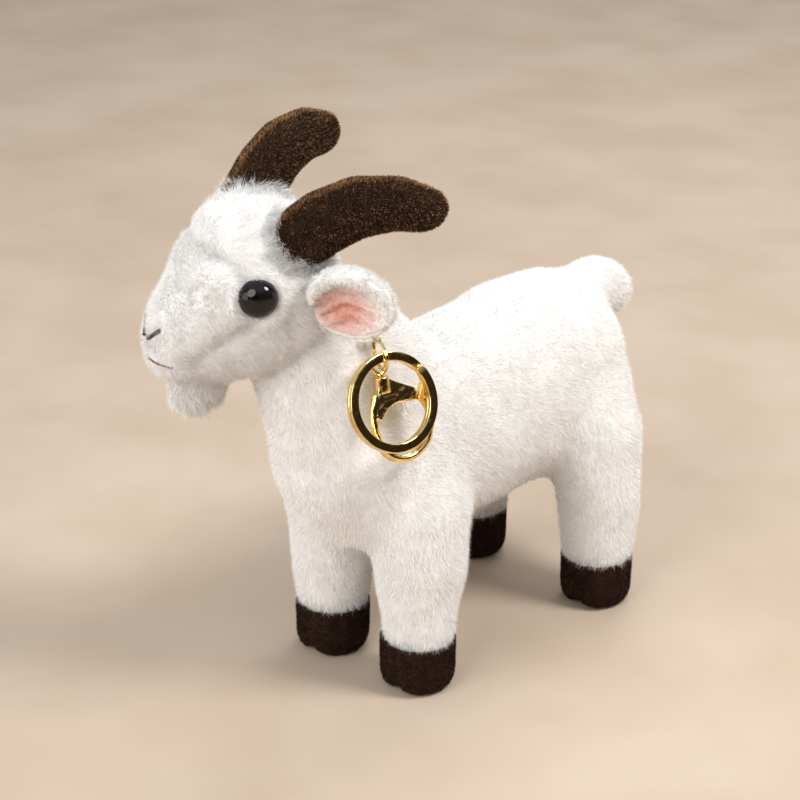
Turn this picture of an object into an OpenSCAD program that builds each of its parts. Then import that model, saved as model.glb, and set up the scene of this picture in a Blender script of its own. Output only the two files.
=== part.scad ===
// Plush goat bag charm: a stuffed standing goat with a split ring and a snap clasp on its neck.
// The goat stands on z = 0 and faces -Y. Its left side is +X. Sizes are in millimetres and degrees.

/* [Body] */
// Thickness of the plush fabric with its pile
skin = 1.5; // [1.2:0.1:1.8]
// Distance from the middle plane to the middle of a front hoof
front_stance = 15.6; // [15:0.2:17]
// Distance from the middle plane to the middle of a rear hoof
rear_stance = 23.2; // [22:0.2:25]
// Place of the front and the rear hooves before and behind the origin
hoof_reach = 35; // [34:0.5:36]
// Height of the brown hoof
hoof_h = 15; // [13:0.5:17]
// Thickness of the felt sole
sole_t = 1.2; // [1:0.1:1.5]

/* [Head] */
// Turn of the head to the goat's right
head_turn = 24; // [20:1:26]
// Lean of the head to the goat's left
head_lean = 8; // [6:1:10]
// Diameter of an eye
eye_d = 10.4; // [9.5:0.1:11]

/* [Hardware] */
// Outside diameter of the split ring
ring_d = 25; // [24:0.5:26]
// Thickness of the split ring's double coil
ring_t = 2.4; // [2:0.1:2.4]
// Wire diameter of the small link
link_t = 1; // [0.8:0.1:1]
// Thickness of the clasp's hook
hook_t = 2.2; // [2:0.1:2.2]

/* [Hidden] */

big = 300;
// The hooves are placed about a point this far behind the middle of the whole length.
middle_shift = 9;
// Sides of the larger and the smaller lofts. Neither is a multiple of 4, so no corner lies on the
// middle plane, where the skins are cut.
body_sides = 18;
limb_sides = 14;

// ---- Lofts ----------------------------------------------------------------------------------

// Turns a point about X, then Y, then Z.
function about_x(p, a) = [p.x, p.y * cos(a) - p.z * sin(a), p.y * sin(a) + p.z * cos(a)];
function about_y(p, a) = [p.x * cos(a) + p.z * sin(a), p.y, p.z * cos(a) - p.x * sin(a)];
function about_z(p, a) = [p.x * cos(a) - p.y * sin(a), p.x * sin(a) + p.y * cos(a), p.z];
function turned(p, a) = about_z(about_y(about_x(p, a.x), a.y), a.z);

// A ring is [centre, half width, half height, angles]. At no angles it lies in the XZ plane.
function ring_points(ring, sides, inset) = [
    for (k = [0 : sides - 1])
        let (
            t = 360 * k / sides,
            w = max(ring[1] - inset, 0.3) * cos(t),
            h = max(ring[2] - inset, 0.3) * sin(t)
        )
        ring[0] + turned([w, 0, h], ring[3])
];

// The same rings with the first and the last moved towards the middle.
function shortened(rings, by) = [
    for (i = [0 : len(rings) - 1])
        let (
            next = i == 0 ? 1 : i == len(rings) - 1 ? i - 1 : i,
            way = rings[next][0] - rings[i][0],
            moved = norm(way) == 0 ? [0, 0, 0] : by * way / norm(way)
        )
        [rings[i][0] + moved, rings[i][1], rings[i][2], rings[i][3]]
];

// Faces between n rings of points. A closed loft joins the last ring to the first.
function side_faces(n, sides, closed = false) = [
    for (i = [0 : n - (closed ? 1 : 2)], k = [0 : sides - 1])
        let (
            a = i * sides + k,
            b = i * sides + (k + 1) % sides,
            c = (a + sides) % (n * sides),
            d = (b + sides) % (n * sides)
        )
        each [[a, d, c], [a, b, d]]
];
module loft(rings, sides, inset = 0, ends_in = 0) {
    n = len(rings);
    polyhedron(
        [for (r = shortened(rings, ends_in)) each ring_points(r, sides, inset)],
        [
            [for (k = [sides - 1 : -1 : 0]) k],
            each side_faces(n, sides),
            [for (k = [0 : sides - 1]) (n - 1) * sides + k]
        ],
        convexity = 8
    );
}

// Makes one mesh of its children, which keeps cuts between soft shapes sound.
module soft() resize([0, 0, 0]) children();

// The half space on one side of a plane across an axis.
module right_of(x) translate([x, -big / 2, -big / 2]) cube(big);
module above(z) translate([-big / 2, -big / 2, z]) cube(big);
module below(z) translate([-big / 2, -big / 2, z - big]) cube(big);

// ---- Forms of the goat ----------------------------------------------------------------------

// A ring across the body at a place along it.
function across(y, z, w, h) = [[0, y, z], w, h, [0, 0, 0]];
// A ring that lies flat at a height.
function level(x, y, z, w, d) = [[x, y, z], w, d, [90, 0, 0]];

torso_rings = [
    across(-65, 70, 5, 7), across(-61, 70, 14, 17), across(-51, 67.5, 20, 26.5),
    across(-36, 65, 23, 29.5), across(-14, 64, 23.5, 29.5), across(6, 64.5, 24, 29.5),
    across(24, 65.5, 25, 30.5), across(38, 65, 25.5, 30), across(49, 65, 22, 27),
    across(55, 66, 14, 19), across(58, 66, 5, 8)
];
neck_rings = [
    [[0, -30, 64], 18, 22, [110, 0, 0]], [[0, -37, 74], 20, 25, [115, 0, 0]],
    [[-1, -45.5, 86], 19.5, 25.5, [120, 0, 0]], [[-2, -52, 97], 18.5, 21.5, [125, 0, 0]],
    [[-3, -58, 107], 16.5, 16, [130, 0, 0]], [[-4, -62, 113], 12, 11, [135, 0, 0]]
];
module body_form(inset = 0) {
    loft(torso_rings, body_sides, inset, inset);
    loft(neck_rings, body_sides, inset);
}

function front_leg_rings(s) = let (x = s * front_stance, y = -hoof_reach) [
    level(x, y, 0, 9.3, 9.3), level(x, y, 4, 10.5, 10.5), level(x, y, 14, 10.6, 10.6),
    level(x, y + 0.5, 22, 11.2, 11.2), level(x, y + 1, 36, 12.8, 13.2),
    level(s * 15, y + 1, 52, 13.8, 16), level(s * 11.5, y + 2, 68, 12.5, 17),
    level(s * 8, y + 2, 82, 7, 12)
];
function rear_leg_rings(s) = let (x = s * rear_stance, y = hoof_reach) [
    level(x, y, 0, 9.3, 9.3), level(x, y, 4, 10.5, 10.5), level(x, y, 14, 10.6, 10.6),
    level(x, y + 0.5, 22, 11.2, 11.4), level(s * 22, y + 1, 36, 12.6, 13.6),
    level(s * 19, y + 1.5, 52, 13.6, 16.5), level(s * 14, y + 1, 68, 12.5, 18.5),
    level(s * 9, y, 82, 7, 12)
];
module leg_form(rings, inset = 0) loft(rings, limb_sides, inset);

tail_rings = [
    [[0, 46, 82], 10, 10, [0, 0, 0]], [[0, 59, 84], 9, 9.5, [-8, 0, 0]],
    [[0, 67, 81.5], 8, 8.8, [-25, 0, 0]], [[0, 73, 77.5], 6, 6.8, [-38, 0, 0]],
    [[0, 75.5, 75.5], 2.5, 3, [-40, 0, 0]]
];
module tail_form(inset = 0) loft(tail_rings, limb_sides, inset, inset);

// ---- Forms of the head ----------------------------------------------------------------------

head_at = [-3, -55, 110];
module place_head() translate(head_at) rotate([0, head_lean, -head_turn]) children();

head_rings = [
    across(-42.5, -4.5, 4.5, 5), across(-40, -3.5, 9, 9.8), across(-35.5, -0.5, 12, 14),
    across(-31, 4, 14, 19.5), across(-26, 6.4, 16, 22.6), across(-18, 7.8, 18, 24.6),
    across(-9, 6.8, 18.5, 23.8), across(-1, 6.3, 17, 19.8), across(4, 6.3, 12, 13.5), across(7, 6.5, 5, 6)
];
module head_form(inset = 0) place_head() loft(head_rings, body_sides, inset, inset);

beard_rings = [
    [[0, -27, -10], 6, 9, [-90, 0, 0]], [[0, -28.5, -17], 5.5, 8.5, [-90, 0, 0]],
    [[0, -29.5, -23], 4, 7, [-90, 0, 0]], [[0, -29.5, -26], 1.5, 3.5, [-90, 0, 0]]
];
module beard_form() place_head() loft(beard_rings, limb_sides);

// Rings are [x, y, z, half width, half height, turn about X, turn about Z] for the left horn.
// The right horn is sewn on a little higher and further ahead, and reaches less far back.
right_horn_reach = 0.9;
right_horn_shift = [1, -5.8, 1.5];
horn_line = [
    [7.5, -13, 18, 7.2, 7.4, 50, 0], [10.3, -8.4, 23, 7.4, 7.8, 44, -8], [13.5, -3, 28.8, 7, 7.9, 31, -15],
    [17.2, 4, 33.4, 6.5, 7.5, 16, -20], [21, 12.5, 34.8, 5.8, 6.6, -5, -22],
    [24, 20, 33, 4.8, 5.3, -22, -22], [25, 22.8, 31.7, 2.4, 2.6, -28, -22]
];
function horn_rings(s) = [
    for (r = horn_line)
        let (shift = s < 0 ? right_horn_shift : [0, 0, 0], reach = s < 0 ? right_horn_reach : 1)
        [[s * r[0], r[1] * reach, r[2]] + shift, r[3], r[4], [r[5], 0, s * r[6]]]
];
module horn_form(s, inset = 0) place_head() loft(horn_rings(s), limb_sides, inset, inset);

// An ear is a shallow cup that opens outward. Its long axis points out and back. The right ear is
// sewn on lower.
ear_size = [22, 21.5, 9];
ear_at = [17.3, -8.3, 9.8];
right_ear_drop = 4;
module place_ear(s) place_head() mirror([s < 0 ? 1 : 0, 0, 0])
    translate(ear_at - [0, 0, s < 0 ? right_ear_drop : 0]) rotate([0, 0, 52]) rotate([14, -8, 0])
    translate([ear_size.x / 2, 0, 0]) children();
module ear_cup(inset)
    resize([ear_size.x - 2 * inset, ear_size.z - 2 * inset, ear_size.y - 2 * inset]) sphere(10, $fn = 16);

// ---- Body -----------------------------------------------------------------------------------

belly_w = 9;
belly_top = 52;
module belly_zone() translate([-belly_w, -52, 0]) cube([2 * belly_w, 104, belly_top]);
module body_shell() difference() {
    body_form();
    body_form(skin);
    head_form();
}
module body_half(s) color("white") soft() difference() {
    intersection() {
        body_shell();
        scale([s, 1, 1]) right_of(0);
    }
    belly_zone();
}
module body_skin_left() body_half(1);
module body_skin_right() body_half(-1);
module belly_panel() color("white") soft() intersection() {
    body_shell();
    belly_zone();
}
module body_stuffing() color("ivory") soft() difference() {
    body_form(skin);
    head_form();
}

module leg_skin(rings) color("white") soft() difference() {
    leg_form(rings);
    leg_form(rings, skin);
    below(hoof_h);
    body_form();
}
module leg_stuffing(rings) color("ivory") soft() difference() {
    leg_form(rings, skin);
    below(sole_t);
    body_form();
}
module hoof(rings) color("saddlebrown") soft() difference() {
    leg_form(rings);
    leg_form(rings, skin);
    below(sole_t);
    above(hoof_h);
}
module sole(rings) color("sienna") soft() difference() {
    leg_form(rings);
    above(sole_t);
}

module tail_skin() color("white") soft() difference() {
    tail_form();
    tail_form(skin);
    body_form();
}
module tail_stuffing() color("ivory") soft() difference() {
    tail_form(skin);
    body_form();
}

// ---- Head -----------------------------------------------------------------------------------

// An eye sits on its seat and its stem goes through the fabric to a washer inside.
eye_seat = [16, -20, 12.5];
eye_turn = [0, 86, -24];
stem_d = 3;
washer_d = 9;
washer_t = 1.2;
// Depth of the washer's top under the seat.
washer_in = 2;
// Room around a part where another is cut back for it.
cut_gap = 0.1;
// The cut above the seat is this high, and the hole for the stem this deep.
eye_clear = 20;
stem_hole = 8;
// The dome is a sphere that is flattened and sunk a little into its seat.
dome_flat = 0.8;
dome_sink = 0.8;
stem_h = 6;
module place_eye(s) place_head() mirror([s < 0 ? 1 : 0, 0, 0])
    translate(eye_seat) rotate(eye_turn) children();
module eye_cut(s) place_eye(s) {
    cylinder(d = eye_d + 2 * cut_gap, h = eye_clear, $fn = 32);
    translate([0, 0, -stem_hole]) cylinder(d = stem_d + cut_gap, h = stem_hole + 1, $fn = 20);
}
module washer_cut(s) place_eye(s) translate([0, 0, -washer_in - washer_t - cut_gap])
    cylinder(d = washer_d + 2 * cut_gap, h = washer_in + washer_t + 1, $fn = 32);

// The stitches are short threads that lie in the nose and under it.
thread_d = 0.8;
module thread(a, b) hull() for (p = [a, b]) translate(p) sphere(d = thread_d, $fn = 10);
nostril_top = [4.7, -41, 1.6];
nostril_low = [0.9, -42.5, -2.3];
module nostril_form() place_head() for (s = [0, 1])
    mirror([s, 0, 0]) thread(nostril_top, nostril_low);
mouth_points = [
    [-8.8, -38.8, -7.4], [-5, -41.6, -7.6], [0, -42.4, -8.2], [5, -41.6, -7.6], [8.8, -38.8, -7.4]
];
module mouth_form() place_head() for (i = [0:len(mouth_points) - 2])
    thread(mouth_points[i], mouth_points[i + 1]);

gusset_outline = [
    [-2.5, -50], [2.5, -50], [7, -26], [9, -8], [4, 25], [-4, 25], [-9, -8], [-7, -26]
];
module gusset_zone() place_head() translate([0, 0, -2]) linear_extrude(60) polygon(gusset_outline);
module chin_zone() place_head() translate([-6, -60, -40]) cube([12, 75, 32]);

module head_shell() difference() {
    head_form();
    head_form(skin);
    for (s = [-1, 1]) eye_cut(s);
    nostril_form();
    mouth_form();
}
module head_side(s) color("white") soft() difference() {
    intersection() {
        head_shell();
        place_head() scale([s, 1, 1]) right_of(0);
    }
    gusset_zone();
    chin_zone();
}
module head_skin_left() head_side(1);
module head_skin_right() head_side(-1);
module forehead_gusset() color("white") soft() intersection() {
    head_shell();
    gusset_zone();
}
module chin_panel() color("white") soft() intersection() {
    head_shell();
    chin_zone();
}
module head_stuffing() color("ivory") soft() difference() {
    head_form(skin);
    for (s = [-1, 1]) {
        eye_cut(s);
        washer_cut(s);
    }
    nostril_form();
    mouth_form();
}
module beard() color("white") soft() difference() {
    beard_form();
    head_form();
    body_form();
}

module horn_skin(s) color("saddlebrown") soft() difference() {
    horn_form(s);
    horn_form(s, skin);
    head_form();
}
module horn_stuffing(s) color("ivory") soft() difference() {
    horn_form(s, skin);
    head_form();
}

module ear_layer(s, outer, inner) soft() difference() {
    place_ear(s) intersection() {
        difference() {
            ear_cup(outer);
            ear_cup(inner);
        }
        translate([-big / 2, 0, -big / 2]) cube(big);
    }
    head_form();
    body_form();
    horn_form(s);
}
module ear_back(s) color("white") ear_layer(s, 0, 1.2);
module ear_lining(s) color("pink") ear_layer(s, 1.2, 2.2);

module eye(s) color("black") place_eye(s) {
    intersection() {
        translate([0, 0, -dome_sink]) scale([1, 1, dome_flat]) sphere(d = eye_d, $fn = 40);
        cylinder(d = eye_d, h = eye_d, $fn = 40);
    }
    translate([0, 0, -stem_h]) cylinder(d = stem_d, h = stem_h + 0.5, $fn = 20);
}
module eye_washer(s) color("silver") place_eye(s)
    translate([0, 0, -washer_in - washer_t]) difference() {
        cylinder(d = washer_d, h = washer_t, $fn = 40);
        translate([0, 0, -1]) cylinder(d = stem_d, h = washer_t + 2, $fn = 20);
    }
module nostril_stitches() color("saddlebrown") nostril_form();
module mouth_stitches() color("saddlebrown") mouth_form();

// ---- Hardware -------------------------------------------------------------------------------

// The hardware hangs from a sewn loop on the left of the neck. In its frame +X points out of the
// flank, +Y runs back along the flank and +Z points up along the way it hangs.
loop_at = [14.5, -52, 104];
flank_turn = -14;
drape = 15;
module place_hardware() translate(loop_at) rotate([0, -drape, flank_turn]) children();

loop_t = 1.1;
loop_r = 3.4;
bar_x = 2.4;

// A tapered link: a wire around two circles, made of two bends and two straight sides.
link_top_r = 1.35;
link_low_r = 2.75;
link_drop = 4.4;
link_low_x = bar_x - link_top_r + link_low_r;
link_reach = norm([link_low_x - bar_x, link_drop]);
link_lean = atan2(link_low_x - bar_x, link_drop);
link_flare = asin((link_low_r - link_top_r) / link_reach);
module bend(r, t, from, sweep, sides = 20) rotate([0, 0, from])
    rotate_extrude(angle = sweep, $fn = 36) translate([r, 0]) circle(d = t, $fn = sides);

// The ring lies in the link's low end a little outside its middle, and the clasp's eye inside it.
ring_out = 0.9;
eye_in = 1.45;
ring_r = (ring_d - ring_t) / 2;
eye_x = link_low_x - eye_in;
ring_lean = 7;
clasp_eye_r = 2.1;
clasp_eye_t = 1.2;

module sewn_loop() color("white") soft() difference() {
    place_hardware() translate([bar_x - loop_r, 0, 0]) bend(loop_r, loop_t, 0, 360, 12);
    body_form();
    head_form();
}
// Stations around the wire are [distance down, bend radius, angle round the bend].
bend_steps = 10;
link_stations = [
    for (k = [0 : bend_steps])
        [0, link_top_r, 180 + link_flare + (180 - 2 * link_flare) * k / bend_steps],
    for (k = [0 : bend_steps])
        [link_reach, link_low_r, (180 + 2 * link_flare) * k / bend_steps - link_flare]
];
wire_sides = 12;
// Drawn in the plane of X and Y, where X is the link's own across and Y its way down.
module link_wire() polyhedron(
    [
        for (s = link_stations, k = [0 : wire_sides - 1])
            let (t = 360 * k / wire_sides, r = s[1] + link_t / 2 * cos(t))
            [r * cos(s[2]), s[0] + r * sin(s[2]), link_t / 2 * sin(t)]
    ],
    side_faces(len(link_stations), wire_sides, closed = true),
    convexity = 8
);
module link() color("gold") place_hardware() translate([bar_x, 0, 0]) rotate([0, -link_lean, 0])
    rotate([-90, 0, 0]) link_wire();

// The split ring is two turns of flat wire pressed together, kept here as one coil.
module split_ring() color("gold") place_hardware()
    translate([link_low_x, 0, -link_drop]) rotate([0, -ring_lean, 0])
    translate([ring_out, 0, -ring_r]) rotate([0, 90, 0]) bend(ring_r, ring_t, 0, 360);

// The clasp's own frame has its eye's middle at the origin, +Y along the flank and +Z up.
module place_clasp() place_hardware() translate([eye_x, 0, -link_drop - clasp_eye_r]) children();
stem_r = 0.7;
button_r = 1.2;
button_z = -5.9;
button_h = 0.8;
// The button turns in a hollow this high, in a collar of this radius between these heights.
hollow_h = 6;
collar_r = 1.9;
collar_top = -2.9;
collar_low = -6.6;
gap = 0.15;
module clasp_eye() color("gold") place_clasp() {
    rotate([0, 90, 0]) bend(clasp_eye_r, clasp_eye_t, 0, 360);
    translate([0, 0, button_z]) cylinder(r = stem_r, h = -clasp_eye_r - button_z, $fn = 24);
    translate([0, 0, button_z]) cylinder(r = button_r, h = button_h, $fn = 24);
}

// The hook is one bar that runs from the collar down the front, round the bottom and up to its tip.
hook_path = [
    [-1.9, -7], [-3.1, -9.8], [-3.9, -13.8], [-3.7, -17.8], [-1.8, -21.8], [2.2, -24.2], [6.4, -24],
    [10.2, -21.7], [12, -18.2], [12.4, -16.3]
];
function path_angle(path, i) = let (
    a = path[max(i - 1, 0)],
    b = path[min(i + 1, len(path) - 1)]
) atan2(b[1] - a[1], b[0] - a[0]);
hook_rings = [
    for (i = [0 : len(hook_path) - 1])
        let (p = hook_path[i], t = hook_t / 2 * (i == 0 ? 1.1 : 1))
        [[0, p[0], p[1]], t, t, [path_angle(hook_path, i), 0, 0]]
];
pivot = [7.3, -8.8];
pin_d = 1;
slot_t = 1.3;
slot_back = 2.4;
slot_size = 8;
// Room between the tongue and the slot's walls, and around the pin.
tongue_gap = 0.1;
tongue_t = slot_t - 2 * tongue_gap;
tab_w = 2;
gate_r = 1;
module along_x(h) rotate([0, 90, 0]) translate([0, 0, -h / 2]) children();
module at_pivot() translate([0, pivot[0], pivot[1]]) children();
module pin_form(d, h) along_x(h) cylinder(d = d, h = h, $fn = 20);
module shoulder() {
    translate([0, 0, collar_low]) cylinder(r = collar_r, h = collar_top - collar_low, $fn = 32);
    hull() {
        translate([0, 0, collar_low + 0.5]) along_x(hook_t) cylinder(r = 1.8, h = hook_t, $fn = 24);
        translate([0, -1.4, -8]) along_x(hook_t) cylinder(r = 1.2, h = hook_t, $fn = 24);
        at_pivot() along_x(hook_t) cylinder(r = 1.7, h = hook_t, $fn = 24);
    }
}
module clasp_body() color("gold") place_clasp() difference() {
    union() {
        shoulder();
        loft(hook_rings, 14);
    }
    translate([0, 0, button_z]) cylinder(r = stem_r + gap, h = hollow_h, $fn = 24);
    translate([0, 0, button_z - gap])
        cylinder(r = button_r + gap, h = button_h + 2 * gap, $fn = 24);
    translate([-slot_t / 2, pivot[0] - slot_back, pivot[1] - slot_size / 2])
        cube([slot_t, slot_size, slot_size]);
    at_pivot() pin_form(pin_d, slot_size);
}

// The trigger's tongue turns in the shoulder's slot. Its thumb tab stands out above the gate.
gate_path = [[9.9, -9.8], [11.3, -11.6], [12.2, -13.8], [12.4, -15]];
gate_rings = [
    for (i = [0 : len(gate_path) - 1])
        let (p = gate_path[i]) [[0, p[0], p[1]], gate_r, gate_r, [path_angle(gate_path, i), 0, 0]]
];
module clasp_trigger() color("gold") place_clasp() difference() {
    union() {
        hull() {
            at_pivot() along_x(tongue_t) cylinder(r = 1.5, h = tongue_t, $fn = 24);
            translate([0, 10, -10]) along_x(tongue_t) cylinder(r = 0.9, h = tongue_t, $fn = 24);
        }
        loft(gate_rings, 14);
        hull() {
            translate([0, 10.6, -9.9]) along_x(tab_w) cylinder(r = 0.8, h = tab_w, $fn = 24);
            translate([0, 11.6, -7.4]) along_x(tab_w) cylinder(r = 0.7, h = tab_w, $fn = 24);
        }
    }
    at_pivot() pin_form(pin_d + tongue_gap, slot_size);
}
module trigger_pin() color("silver") place_clasp() at_pivot() pin_form(pin_d, hook_t);
// The spring is a leaf that hugs the tongue's heel, with a foot on the slot's back wall.
spring_r = 1.65;
spring_t = 0.25;
spring_w = 1.1;
spring_from = 225;
spring_sweep = 95;
spring_foot = 0.5;
spring_foot_l = slot_back - spring_r - spring_t / 2;
module trigger_spring() color("silver") place_clasp() at_pivot() along_x(spring_w) {
    rotate([0, 0, spring_from]) rotate_extrude(angle = spring_sweep, $fn = 48)
        translate([spring_r, 0]) square([spring_t, spring_w]);
    translate([-spring_foot / 2, -slot_back, 0]) cube([spring_foot, spring_foot_l, spring_w]);
}

// ---- Nodes ----------------------------------------------------------------------------------

// Moves the goat so that the origin lies under the middle of its box.
module placed() translate([0, middle_shift, 0]) children();

placed() body_skin_left();
placed() body_skin_right();
placed() belly_panel();
placed() body_stuffing();
placed() leg_skin(front_leg_rings(1));  // front_left_leg_skin
placed() leg_skin(front_leg_rings(-1));  // front_right_leg_skin
placed() leg_skin(rear_leg_rings(1));  // rear_left_leg_skin
placed() leg_skin(rear_leg_rings(-1));  // rear_right_leg_skin
placed() leg_stuffing(front_leg_rings(1));  // front_left_leg_stuffing
placed() leg_stuffing(front_leg_rings(-1));  // front_right_leg_stuffing
placed() leg_stuffing(rear_leg_rings(1));  // rear_left_leg_stuffing
placed() leg_stuffing(rear_leg_rings(-1));  // rear_right_leg_stuffing
placed() hoof(front_leg_rings(1));  // front_left_hoof
placed() hoof(front_leg_rings(-1));  // front_right_hoof
placed() hoof(rear_leg_rings(1));  // rear_left_hoof
placed() hoof(rear_leg_rings(-1));  // rear_right_hoof
placed() sole(front_leg_rings(1));  // front_left_sole
placed() sole(front_leg_rings(-1));  // front_right_sole
placed() sole(rear_leg_rings(1));  // rear_left_sole
placed() sole(rear_leg_rings(-1));  // rear_right_sole
placed() tail_skin();
placed() tail_stuffing();
placed() head_skin_left();
placed() head_skin_right();
placed() forehead_gusset();
placed() chin_panel();
placed() head_stuffing();
placed() beard();
placed() horn_skin(1);  // left_horn_skin
placed() horn_skin(-1);  // right_horn_skin
placed() horn_stuffing(1);  // left_horn_stuffing
placed() horn_stuffing(-1);  // right_horn_stuffing
placed() ear_back(1);  // left_ear_back
placed() ear_back(-1);  // right_ear_back
placed() ear_lining(1);  // left_ear_lining
placed() ear_lining(-1);  // right_ear_lining
placed() eye(1);  // left_eye
placed() eye(-1);  // right_eye
placed() eye_washer(1);  // left_eye_washer
placed() eye_washer(-1);  // right_eye_washer
placed() nostril_stitches();
placed() mouth_stitches();
placed() sewn_loop();
placed() link();
placed() split_ring();
placed() clasp_eye();
placed() clasp_body();
placed() clasp_trigger();
placed() trigger_pin();
placed() trigger_spring();
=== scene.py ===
"""Looks for a plush goat bag charm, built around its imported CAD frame.

Every soft part gets a smooth stuffed form and a pile of real strands on top of it. A short cloth
simulation puffs out the head and the body. The metal hardware gets cast and plated forms, and the
split ring is a double coil.
"""

import math

import bmesh
import bpy
import numpy as np
from mathutils import Euler, Matrix, Vector
from mathutils.bvhtree import BVHTree


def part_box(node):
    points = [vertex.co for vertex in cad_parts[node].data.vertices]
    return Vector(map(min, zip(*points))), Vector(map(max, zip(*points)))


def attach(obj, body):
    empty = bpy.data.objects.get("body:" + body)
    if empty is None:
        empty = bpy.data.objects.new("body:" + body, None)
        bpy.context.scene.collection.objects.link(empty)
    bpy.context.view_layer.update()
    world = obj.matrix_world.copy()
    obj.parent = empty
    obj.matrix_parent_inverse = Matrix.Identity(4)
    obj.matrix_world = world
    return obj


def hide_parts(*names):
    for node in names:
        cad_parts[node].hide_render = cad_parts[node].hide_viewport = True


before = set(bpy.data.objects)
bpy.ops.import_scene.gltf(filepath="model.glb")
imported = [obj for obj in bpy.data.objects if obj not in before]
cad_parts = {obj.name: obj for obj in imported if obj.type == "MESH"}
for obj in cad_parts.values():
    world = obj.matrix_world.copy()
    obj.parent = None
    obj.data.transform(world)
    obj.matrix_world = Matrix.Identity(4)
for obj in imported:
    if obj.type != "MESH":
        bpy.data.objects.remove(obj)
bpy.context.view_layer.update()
MM = 0.001
GOAT = "goat"


# ---- Places ---------------------------------------------------------------------------------


def deg(*angles):
    """Angles in degrees as radians."""
    return [math.radians(a) for a in angles]


def placed(at_mm, turn_deg):
    """The matrix of a frame that is turned about X, then Y, then Z, and then moved."""
    return Matrix.Translation(Vector(at_mm) * MM) @ Euler(deg(*turn_deg)).to_matrix().to_4x4()


def point(matrix, at_mm):
    return matrix @ (Vector(at_mm) * MM)


def middle(node):
    low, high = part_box(node)
    return (low + high) / 2


MIRROR = {1: Matrix.Identity(4), -1: Matrix.Scale(-1, 4, (1, 0, 0))}
SIDES = {"left": 1, "right": -1}
HEAD = placed((-3, -46, 110), (0, 8, -24))
HARDWARE = placed((14.5, -43, 104), (0, -15, -14))
EYE_IN_HEAD = placed((16, -20, 12.5), (0, 86, -24))
EYE_R = 4.8 * MM
HOOF_H = 15 * MM
LEGS = ["front_left", "front_right", "rear_left", "rear_right"]


# ---- Meshes ---------------------------------------------------------------------------------


def new_object(name, mesh):
    obj = bpy.data.objects.new(name, mesh)
    bpy.context.scene.collection.objects.link(obj)
    return obj


def mesh_of(name, verts, faces):
    mesh = bpy.data.meshes.new(name)
    mesh.from_pydata([tuple(v) for v in verts], [], [tuple(f) for f in faces])
    mesh.update()
    return mesh


def coords(obj):
    out = np.empty(len(obj.data.vertices) * 3)
    obj.data.vertices.foreach_get("co", out)
    return out.reshape(-1, 3)


def set_coords(obj, points):
    obj.data.vertices.foreach_set("co", points.ravel())
    obj.data.update()


def normals(obj):
    out = np.empty(len(obj.data.vertices) * 3)
    obj.data.vertex_normals.foreach_get("vector", out)
    return out.reshape(-1, 3)


def smooth_shaded(obj):
    obj.data.polygons.foreach_set("use_smooth", [True] * len(obj.data.polygons))
    obj.data.update()
    return obj


def applied(obj):
    """Bakes the object's modifiers into its mesh."""
    evaluated = obj.evaluated_get(bpy.context.evaluated_depsgraph_get())
    mesh = bpy.data.meshes.new_from_object(evaluated)
    obj.modifiers.clear()
    obj.data = mesh
    return obj


def subdivided(obj, levels):
    changed = obj.modifiers.new("subdivision", "SUBSURF")
    changed.levels = levels
    changed.render_levels = levels
    return applied(obj)


def merged(name, meshes, outward=False):
    """One mesh of several. outward turns all of its faces to the outside."""
    together = bmesh.new()
    for mesh in meshes:
        together.from_mesh(mesh)
    if outward:
        bmesh.ops.recalc_face_normals(together, faces=together.faces)
    mesh = bpy.data.meshes.new(name)
    together.to_mesh(mesh)
    together.free()
    return mesh


def joined(name, meshes):
    """One object of several meshes, with its faces turned outward."""
    return smooth_shaded(new_object(name, merged(name, meshes, outward=True)))


def from_nodes(name, nodes, voxel, smooth_steps):
    """One closed, smooth mesh around several CAD nodes."""
    mesh = merged(name, [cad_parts[node].data for node in nodes])
    return remeshed(new_object(name, mesh), voxel, smooth_steps)


def remeshed(obj, voxel, smooth_steps):
    """Fuses an object's overlapping parts into one smooth skin."""
    remesh = obj.modifiers.new("remesh", "REMESH")
    remesh.mode = "VOXEL"
    remesh.voxel_size = voxel
    smooth = obj.modifiers.new("smooth", "SMOOTH")
    smooth.factor = 0.5
    smooth.iterations = smooth_steps
    return smooth_shaded(applied(obj))


def bands(rings, sides):
    """The faces between neighbouring rings of points, and a cap at each end."""
    faces = []
    for i in range(rings - 1):
        for k in range(sides):
            a, b = i * sides + k, i * sides + (k + 1) % sides
            faces.append((a, b, b + sides, a + sides))
    faces.append(tuple(reversed(range(sides))))
    faces.append(tuple((rings - 1) * sides + k for k in range(sides)))
    return faces


def tube(name, path, radius, sides):
    """A wire along a path of points. radius is one number, or one for each point."""
    path = [Vector(p) for p in path]
    last = len(path) - 1
    radii = np.broadcast_to(radius, len(path))
    verts = []
    side = None
    for i, p in enumerate(path):
        way = (path[min(i + 1, last)] - path[max(i - 1, 0)]).normalized()
        if side is None:
            side = way.orthogonal().normalized()
        side = (side - way * side.dot(way)).normalized()
        other = way.cross(side)
        for k in range(sides):
            turn = 2 * math.pi * k / sides
            verts.append(p + float(radii[i]) * (math.cos(turn) * side + math.sin(turn) * other))
    return mesh_of(name, verts, bands(len(path), sides))


def shrunk(obj, depth):
    """Moves the surface inward. depth is one number, or one for each vertex."""
    depth = np.broadcast_to(depth, len(obj.data.vertices))[:, None]
    set_coords(obj, coords(obj) - normals(obj) * depth)
    return smooth_shaded(obj)


def local_to(matrix, points):
    """World points in a frame's own coordinates."""
    back = np.array(matrix.inverted())
    return points @ back[:3, :3].T + back[:3, 3]


def surface_of(nodes):
    """A search tree over the surfaces of some CAD nodes."""
    verts, polygons = [], []
    for node in nodes:
        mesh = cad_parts[node].data
        first = len(verts)
        verts.extend(v.co.copy() for v in mesh.vertices)
        polygons.extend([first + k for k in p.vertices] for p in mesh.polygons)
    return BVHTree.FromPolygons(verts, polygons)


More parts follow.
